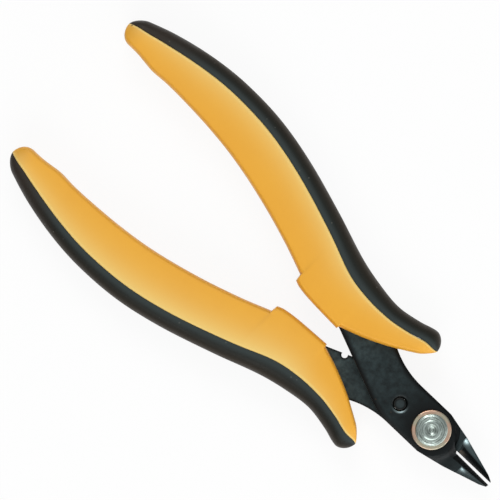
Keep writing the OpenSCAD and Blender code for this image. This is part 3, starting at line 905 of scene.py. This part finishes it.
# gives the place of some faces a fine even mesh inside the same border
def refill(bm, faces, border, side, pitch, rear, heightAt, rings=()):
    verts = list(dict.fromkeys(v for e in border for v in e.verts))
    order = {v: i for i, v in enumerate(verts)}
    pairs = [(order[e.verts[0]], order[e.verts[1]]) for e in border]
    points = np.array([flatPoint(v) for v in verts])
    segments = np.array([(flatPoint(e.verts[0]), flatPoint(e.verts[1])) for e in border])
    low, high = points.min(0), points.max(0)
    xs = np.arange(max(low[0], rear), high[0], pitch)
    ys = np.arange(low[1], high[1], pitch * 0.87)
    grid = np.array([(x + (0.5 * pitch if k % 2 else 0), y) for k, y in enumerate(ys) for x in xs])
    if len(rings):
        centre = rings.mean(0)
        reach = np.linalg.norm(rings - centre, axis=1).max() + 0.3 * pitch
        grid = np.vstack([grid[np.linalg.norm(grid - centre, axis=1) > reach], rings])
    grid = grid[insideBorder(grid, segments)]
    grid = grid[nearest(grid, segments) > (0.1 if len(rings) else 0.44) * pitch]
    every = np.vstack([points, grid])
    coords, _, triangles, sources, _, _ = delaunay_2d_cdt([Vector(p) for p in every], pairs, [], 0, 1e-6)
    bmesh.ops.delete(bm, geom=faces, context="FACES")
    for x, y in grid:
        verts.append(bm.verts.new(pivot + Vector((x, y, heightAt(x, y))) * mm))
    owner = [verts[group[0]] for group in sources]
    corners = np.array([[coords[i][:2] for i in t] for t in triangles])
    sides = corners - np.roll(corners, 1, 1)
    areas = np.abs(sides[:, 0, 0] * sides[:, 1, 1] - sides[:, 0, 1] * sides[:, 1, 0]) / 2
    slivers = areas < 1e-4 * (sides * sides).sum(-1).max(1)
    made = []
    for triangle, inside in zip(triangles, insideBorder(corners.mean(1), segments) & ~slivers):
        if inside:
            made.append(bm.faces.new([owner[i] for i in (triangle if side > 0 else triangle[::-1])]))
    return every, verts, made


def paintLoops(faces, layer, values):
    for face in faces:
        for loop in face.loops:
            loop[layer] = values[loop.vert]


def rollFace(bm, s, height, side, depth, width, band, rings):
    bm.normal_update()
    faces = []
    for face in bm.faces:
        above = face.calc_center_median().z - pivot.z - height * mm
        if face.normal.z * side > 0.9995 and abs(above) < 4e-6:
            faces.append(face)
    border, walls = borderOf(faces)
    outline, ramp = [], []
    for edge, wall in zip(border, walls):
        segment = (flatPoint(edge.verts[0]), flatPoint(edge.verts[1]))
        x, y = (segment[0][0] + segment[1][0]) / 2, (segment[0][1] + segment[1][1]) / 2
        if math.hypot(x, y) < s["boreClear"] or fromStop(s, x, y) < s["stopClear"]:
            continue
        (outline if wall and abs(wall.normal.z) < 0.25 else ramp).append(segment)
    pitch, rear = s["facePitch"], s["faceRear"]
    every, verts, made = refill(bm, faces, border, side, pitch, rear, lambda x, y: height, rings)
    fade = np.clip(nearest(every, np.array(ramp)) / s["rollFade"], 0, 1)
    near = np.clip(1 - nearest(every, np.array(outline)) / width, 0, 1) * fade * fade * (3 - 2 * fade)
    shares = dict(zip(verts, near))
    # the band share, used for real edge wear and for painted shade in the material
    paintLoops(made, band, shares)
    for vert, share in shares.items():
        vert.co.z -= side * depth * mm * share * share
    return every, verts, made


def dishPoints(s):
    turns = np.linspace(0, 2 * math.pi, 49)[:-1]
    x, y = s["stopAt"]
    return np.array([(x + r * math.cos(t), y + r * math.sin(t)) for r in s["dishRings"] for t in turns])


# a shallow dish in the front face round the stop pin, and the foot of the hole's chamfer let down with it
def dishStop(bm, s, every, verts, made, ground):
    low, high, top = s["dishFrom"], s["dishRings"][-1], set(made)
    for (x, y), vert in zip(every, verts):
        across = Vector((x - s["stopAt"][0], y - s["stopAt"][1]))
        away = (high - across.length) / (high - low)
        if away > 0:
            vert.co.z -= s["dishDepth"] * mm * away * away
            # painted highlight: a bright crescent on one side of the dish
            facing = 0.5 + 0.5 * math.cos(math.atan2(across.y, across.x) - math.radians(s["dishTurn"]))
            for loop in vert.link_loops:
                if loop.face in top:
                    loop[ground] = s["dishShine"] * min(away, 1) * facing ** 8
    for vert in bm.verts:
        sunk = abs(vert.co.z - pivot.z - (s["plate"] - s["stopChamfer"]) * mm) < 0.1 * mm
        if sunk and fromStop(s, *flatPoint(vert)) < s["dishFrom"] - 0.1:
            vert.co.z -= s["dishDepth"] * mm * 1.5


# takes out the low ledge where a flank starts
def weldLedge(bm, s, side):
    bm.normal_update()
    ledge = {}
    for face in bm.faces:
        centre = (face.calc_center_median() - pivot) / mm
        if face.normal.x > 0.9 and centre.x > s["groundFrom"] and centre.y * side > 1:
            for edge in face.edges:
                low, high = sorted(edge.verts, key=lambda v: v.co.z)
                if (low.co - high.co).xy.length < 0.01 * mm:
                    ledge[low] = high
    bmesh.ops.weld_verts(bm, targetmap=ledge)
    bm.normal_update()


# the flank of each jaw and the ramp it starts from are ground, with a fillet between them
def grindFlank(bm, s, flank, ground):
    paintedShade = bm.faces.layers.float.new("dimFace")
    root = bm.faces.layers.float.new("rootFace")
    side = math.copysign(1, flank["at"][1])
    weldLedge(bm, s, side)
    planes, chosen = [], []
    for face in bm.faces:
        centre, normal = (face.calc_center_median() - pivot) / mm, face.normal
        out = normal.y * side
        sloped = 0.4 < out < 0.6 and -0.05 < normal.x < 0.3
        start = normal.x > 0.66 and abs(out) < 0.1 and centre.y * side > 1
        # painted shade: sloped faces round the stop pin are flagged to be darkened
        if fromStop(s, centre.x, centre.y) < s["stopClear"] and 0.3 < normal.z < 0.9:
            face[paintedShade] = 1.0
        # painted light: walls facing the rivet get a little ground share, so they read lighter
        if centre.x > s["stepFrom"] and normal.x < -0.3 and 0.3 < normal.z < 0.9:
            for loop in face.loops:
                loop[ground] = s["stepShine"]
            continue
        if centre.x < s["groundFrom"]:
            continue
        if normal.z > 0.6 and (sloped or start):
            chosen.append(face)
            planes.append((normal.copy(), centre))
        # painted shade: bevels and walls turned away from the flank are flagged to be darkened
        elif 0.1 < normal.z < 0.9 and out < 0.1:
            face[paintedShade] = 1.0
            face[root] = float(side > 0)

    def heightAt(x, y):
        levels = sorted((c.z - (n.x * (x - c.x) + n.y * (y - c.y)) / n.z for n, c in planes), reverse=True)
        blend = max(0.0, s["fillet"] - (levels[0] - levels[1])) / s["fillet"]
        return levels[0] + 0.25 * s["fillet"] * blend * blend

    border, walls = borderOf(chosen)
    spotX, spotY = flank["at"]
    outline, ridge = [], []
    for edge, wall in zip(border, walls):
        (ax, ay), (bx, by) = ends = [flatPoint(v) for v in edge.verts]
        if wall and wall.normal.y * side > 0.2 and abs(wall.normal.z) < 0.25:
            outline.append(ends)
        elif abs(ax - bx) > 2 * abs(ay - by) and ay * side < spotY * side:
            ridge.append(ends)
    every, verts, made = refill(bm, chosen, border, 1, s["flankPitch"], s["faceRear"], heightAt)
    inward = np.clip(nearest(every, np.array(outline)) / flank["rollWidth"], 0, 1)
    offRidge = np.clip(nearest(every, np.array(ridge)) / s["ridgeFade"], 0, 1)
    offRidge = s["ridgeDull"] + (1 - s["ridgeDull"]) * offRidge
    fade = np.clip((every[:, 0] - every[:, 0].min()) / s["flankFade"], 0, 1)
    shine = {}
    for vert, (x, y), share, late, clear in zip(verts, every, inward, fade, offRidge):
        vert.co.z -= flank["rollDepth"] * mm * (1 - share) ** 2 * late
        # painted highlight spot at the flank's start, over a low ground share
        spot = ((x - spotX) / flank["spread"][0]) ** 2 + ((y - spotY) / flank["spread"][1]) ** 2
        shine[vert] = min(1.0, flank["spotHighlight"] * math.exp(-spot) + flank["oxide"] * share) * clear
    paintLoops(made, ground, shine)


def makeBlade(name, node, s, flank, faces, body):
    bm = bmesh.new()
    bm.from_mesh(frame["nodes"][node].data)
    for layer in list(bm.loops.layers.uv):
        bm.loops.layers.uv.remove(layer)
    bmesh.ops.remove_doubles(bm, verts=bm.verts, dist=8e-6)
    bmesh.ops.dissolve_degenerate(bm, edges=bm.edges, dist=1e-6)
    bmesh.ops.dissolve_limit(bm, angle_limit=math.radians(0.3), verts=bm.verts, edges=bm.edges)
    band = bm.loops.layers.float.new("edgeBand")
    ground = bm.loops.layers.float.new("groundFace")
    lap = bm.faces.layers.float.new("lapFace")
    for height, side, depth, width in faces:
        dished = height == s["plate"]
        rings = dishPoints(s) if dished else ()
        every, verts, made = rollFace(bm, s, height, side, depth, width, band, rings)
        if dished:
            dishStop(bm, s, every, verts, made, ground)
        for face in made:
            face[lap] = float(height == -s["lap"])
    grindFlank(bm, s, flank, ground)
    splitLargeFaces(bm)
    mesh = meshFrom(bm, name, 24)
    print(name, len(mesh.polygons), "faces")
    addPiece(name, mesh, bladeMaterial, body, node)


rolled = (bladeShape["rollDepth"], bladeShape["rollWidth"])
lapped = (bladeShape["lapRollDepth"], bladeShape["lapRollWidth"])
frontFaces = [(bladeShape["plate"], 1, *rolled)]
rearFaces = [(-bladeShape["lap"], 1, *lapped), (-bladeShape["plate"], -1, *rolled)]
makeBlade("frontBlade", "front_blade", bladeShape, frontFlank, frontFaces, "front_half")
makeBlade("rearBlade", "rear_blade", bladeShape, rearFlank, rearFaces, "rear_half")
print("blades dressed")


# turned and spun pieces on the pivot
rivetShape = {
    "shank": 2.75,
    "head": 3.95,
    "seat": 3.1,
    "top": 4.0,
    "rearHead": 3.7,
    "rearEnd": -3.9,
    "rearRound": 0.32,
    "boss": (1.95, 2.60, 0.19),  # top and foot radius, height
    "dimple": (1.80, 0.45),  # radius, depth
    "crown": (3.30, 3.72, 0.42, 0.22),  # slope from, round from, slope, fall
    "rings": (2.72, 0.3, 3, 3.795),  # first radius, step, count, height
    "ridge": 0.045,
}
washerShape = {"inside": 2.78, "outside": 4.85, "thick": 0.6, "rim": 0.3, "plate": 2.5}
pinShape = {"radius": 1.5, "low": -2.1, "high": 2.35, "corner": 0.14, "rimFrom": 0.78, "shine": 0.035}


# profile points are (radius, height) in mm, from the axis at the bottom round the outside
def spinMesh(name, profile, centre, segments, closed=False):
    bm = bmesh.new()
    x, y = centre
    turns = [2 * math.pi * k / segments for k in range(segments)]
    rings = []
    for radius, height in profile:
        if radius < 1e-6:
            rings.append([bm.verts.new(pivot + Vector((x, y, height)) * mm)] * segments)
            continue
        points = [Vector((x + radius * math.cos(t), y + radius * math.sin(t), height)) for t in turns]
        rings.append([bm.verts.new(pivot + point * mm) for point in points])
    bridgeRings(bm, rings, closed)
    bmesh.ops.recalc_face_normals(bm, faces=bm.faces)
    return meshFrom(bm, name, 35)


def rivetProfile(s):
    bossTop, bossFoot, step = s["boss"]
    hole, sunk = s["dimple"]
    slopeFrom, roundFrom, slope, fall = s["crown"]
    head, rearHead, rearEnd, corner = s["head"], s["rearHead"], s["rearEnd"], s["rearRound"]
    profile = [(0, rearEnd + 0.1), (rearHead * 0.55, rearEnd + 0.04)]
    profile += arcPoints((rearHead - corner, rearEnd + corner), corner, -90, 0, 6)
    profile += [(rearHead, -s["seat"]), (s["shank"], -s["seat"]), (s["shank"], s["seat"]), (head, s["seat"])]
    for r in np.linspace(head, 0, 72):
        height = s["top"]
        if r > slopeFrom:
            height -= slope * (r - slopeFrom)
        if r > roundFrom:
            height -= fall * (1 - math.sqrt(max(0.0, 1 - ((r - roundFrom) / (head - roundFrom)) ** 2)))
        if r > bossTop:
            t = min(1.0, (r - bossTop) / (bossFoot - bossTop))
            height -= step * t * t * (3 - 2 * t)
        if r < hole:
            height -= sunk * (0.5 + 0.5 * math.cos(math.pi * r / hole))
        profile.append((r, height))
    return profile


# fine ridges left by turning
def makeRingTree():
    tree, ids, start = newTree("turnedRings", {
        "Rings": "Int", "First radius": "Float", "Ring step": "Float",
        "Ridge": "Float", "Centre": "Vector", "Material": "Material",
    })
    line = nodeFrom("GeometryNodeMeshLine", {"Offset": (0, 0, 0), "Count": start["Rings"]}, mode="OFFSET")
    index = addNode(tree, "GeometryNodeInputIndex").outputs[0]
    radius = mathNode("MULTIPLY_ADD", index, start["Ring step"], start["First radius"])
    spread = nodeFrom("GeometryNodeInstanceOnPoints", {
        "Points": line.outputs["Mesh"], "Instance": circleOf(tree, 96, 1.0),
        "Scale": combineXyz(radius, radius, radius),
    })
    real = nodeFrom("GeometryNodeRealizeInstances", {"Geometry": spread.outputs["Instances"]})
    sweep = sweepCircle(real.outputs["Geometry"], 8, start["Ridge"], False)
    move = nodeFrom("GeometryNodeSetPosition", {"Geometry": sweep, "Offset": start["Centre"]})
    closeTree(move.outputs["Geometry"], start["Material"])
    return tree, ids


def makeRivet(s):
    mesh = spinMesh("pivotRivet", rivetProfile(s), (0, 0), 96)
    first, step, count, height = s["rings"]
    rings = meshFromTree("rivetRings", *makeRingTree(), {
        "Rings": count, "First radius": first * mm, "Ring step": step * mm, "Ridge": s["ridge"] * mm,
        "Centre": pivot + Vector((0, 0, height * mm)), "Material": rivetMaterial,
    })
    bm = bmesh.new()
    bm.from_mesh(mesh)
    bm.from_mesh(rings)
    bm.to_mesh(mesh)
    bm.free()
    smoothMesh(mesh, 35)
    addPiece("pivotRivet", mesh, rivetMaterial, "front_half", "pivot_rivet")


def makeWasher(name, s, side, node):
    low, high = s["plate"], s["plate"] + s["thick"]
    profile = [(s["inside"], low), (s["outside"] - 0.05, low)]
    profile += arcPoints((s["outside"] - s["rim"], high - s["rim"]), s["rim"], 0, 90, 7) + [(s["inside"], high)]
    mesh = spinMesh(name, [(r, z * side) for r, z in profile], (0, 0), 96, closed=True)
    addPiece(name, mesh, washerMaterial, "front_half", node)


def makePin(s, at):
    radius, low, high, corner = s["radius"], s["low"], s["high"], s["corner"]
    profile = [(0, low), (radius - 0.1, low), (radius, low + 0.1)]
    profile += arcPoints((radius - corner, high - corner), corner, 0, 90, 7)
    profile += [(0.7, high - 0.02), (0, high - 0.04)]
    mesh = spinMesh("stopPin", profile, at, 64)
    centre = Vector(at) * mm + pivot.xy
    # the pin's rim takes the edge band, which darkens it as painted shade
    rim = [float((v.co.xy - centre).length > radius * mm * s["rimFrom"]) for v in mesh.vertices]
    addLayer(mesh, "edgeBand", rim)
    addLayer(mesh, "groundFace", [s["shine"] * (1 - r) for r in rim])
    addPiece("stopPin", mesh, bladeMaterial, "front_half", "stop_pin")


makeRivet(rivetShape)
makeWasher("pivotWasher", washerShape, 1, "pivot_washer")
makeWasher("rearWasher", washerShape, -1, "rear_washer")
makePin(pinShape, bladeShape["stopAt"])
print("rivet, washers and pin spun")


# hairpin return spring between the blades, drawn along one path
springShape = {"wire": 1.0, "bend": 3.6, "leg": 12.0, "lean": 3.0}  # the legs lean in, in degrees


def makeSpringTree():
    tree, ids, start = newTree("hairpinWire", {
        "Points": "Int", "Wire radius": "Float", "Bend radius": "Float", "Leg length": "Float",
        "Lean": "Float", "Centre": "Vector", "Material": "Material",
    })
    bend, leg, lean = start["Bend radius"], start["Leg length"], start["Lean"]
    line = addNode(tree, "GeometryNodeCurvePrimitiveLine", {"End": (1, 0, 0)})
    inputs = {"Curve": line.outputs["Curve"], "Count": start["Points"]}
    points = nodeFrom("GeometryNodeResampleCurve", inputs).outputs["Curve"]
    along = addNode(tree, "GeometryNodeSplineParameter").outputs["Factor"]
    # the path runs in along one leg, round the bend and out along the other
    span = add(multiply(lean, 2), math.pi)
    half = multiply(bend, span)
    whole = add(multiply(leg, 2), half)
    run = multiply(along, whole)
    past = subtract(run, leg)
    before = subtract(smaller(run, leg), leg)
    after = larger(subtract(past, half), 0)
    turn = larger(divide(past, bend), 0)
    turn = subtract(smaller(turn, span), lean)

    def onPath(legs, operation, leanOperation):
        straight = multiply(legs, mathNode(leanOperation, lean))
        return add(straight, multiply(mathNode(operation, turn), bend))

    x = onPath(subtract(before, after), "SINE", "COSINE")
    y = onPath(add(before, after), "COSINE", "SINE")
    place = addVectors(combineXyz(x, y, 0), start["Centre"])
    move = nodeFrom("GeometryNodeSetPosition", {"Geometry": points, "Position": place})
    sweep = sweepCircle(move.outputs["Geometry"], 16, start["Wire radius"], True)
    closeTree(sweep, start["Material"])
    return tree, ids


def makeSpring(s):
    mesh = meshFromTree("returnSpring", *makeSpringTree(), {
        "Points": 96, "Wire radius": s["wire"] / 2 * mm, "Bend radius": s["bend"] * mm,
        "Leg length": s["leg"] * mm, "Lean": math.radians(s["lean"]), "Centre": pivot, "Material": springMaterial,
    })
    cleanMesh(mesh, 35)
    addPiece("returnSpring", mesh, springMaterial, "front_half", "return_spring")


makeSpring(springShape)
print("spring wound")


# floor, lamps and world
stageSetup = {
    "floorSize": 3.0,
    "floorLow": -0.0002,
    "floorShade": 0.90,
    "floorGrain": (900.0, 8.0),
    "whiteShare": 0.9,
    "lamps": [
        {"name": "jawSoftbox", "at": (0.85, 0.02, 0.36), "size": (1.5, 0.36), "power": 5.2},
        {"name": "rearSoftbox", "at": (-0.60, 0.45, 0.75), "size": (0.6, 0.5), "power": 4.4},
        {"name": "sideSoftbox", "at": (0.42, -0.66, 0.66), "size": (0.8, 0.6), "power": 4.2},
    ],
    "skyColor": (0.97, 0.99, 1.0, 1),
    "zenith": 0.66,
    "low": 0.13,
    "lowTo": 0.55,
    "zenithFrom": 0.92,
}


def makeFloor(setup):
    half, low, shade = setup["floorSize"] / 2, setup["floorLow"], setup["floorShade"]
    mesh = bpy.data.meshes.new("paleFloor")
    corners = [(-half, -half, low), (half, -half, low), (half, half, low), (-half, half, low)]
    mesh.from_pydata(corners, [], [(0, 1, 2, 3)])
    material, coords = newMaterial("palePaper")
    tree = material.node_tree
    shader = tree.nodes["Principled BSDF"]
    grain = useGrain(coords, *setup["floorGrain"])
    tones = (shade, shade, shade, 1), (shade * 0.985, shade * 0.985, shade * 0.98, 1)
    tree.links.new(mixColor(grain["Broad"], *tones), shader.inputs["Base Color"])
    shader.inputs["Roughness"].default_value = 0.9
    shader.inputs["Specular IOR Level"].default_value = 0.1
    # seen directly or in a mirror it is nearly white
    glow = addNode(tree, "ShaderNodeEmission", {"Color": (1, 1, 1, 1), "Strength": 1.0})
    light = addNode(tree, "ShaderNodeLightPath").outputs
    seen = larger(light["Is Camera Ray"], light["Is Glossy Ray"])
    seen = larger(seen, light["Is Transmission Ray"])
    share = multiply(seen, setup["whiteShare"])
    mix = nodeFrom("ShaderNodeMixShader", {0: share, 1: shader.outputs[0], 2: glow.outputs[0]})
    tree.links.new(mix.outputs[0], tree.nodes["Material Output"].inputs["Surface"])
    mesh.materials.append(material)
    floor = bpy.data.objects.new("paleFloor", mesh)
    scene.collection.objects.link(floor)


def makeLamps(setup):
    for lamp in setup["lamps"]:
        data = bpy.data.lights.new(lamp["name"], "AREA")
        data.shape = "RECTANGLE"
        data.size, data.size_y = lamp["size"]
        data.energy = lamp["power"]
        light = bpy.data.objects.new(lamp["name"], data)
        light.location = lamp["at"]
        light.rotation_euler = (-Vector(lamp["at"])).to_track_quat("-Z", "Y").to_euler()
        scene.collection.objects.link(light)


def makeWorld(setup):
    world = bpy.data.worlds.new("studioDome")
    scene.world = world
    world.use_nodes = True
    tree = world.node_tree
    upward = splitXyz(addNode(tree, "ShaderNodeTexCoord").outputs["Generated"])["Z"]
    level = mapRange(upward, setup["lowTo"], setup["zenithFrom"], setup["low"], setup["zenith"])
    tree.links.new(level, tree.nodes["Background"].inputs["Strength"])
    tree.nodes["Background"].inputs["Color"].default_value = setup["skyColor"]


makeFloor(stageSetup)
makeLamps(stageSetup)
makeWorld(stageSetup)
print("stage lit")
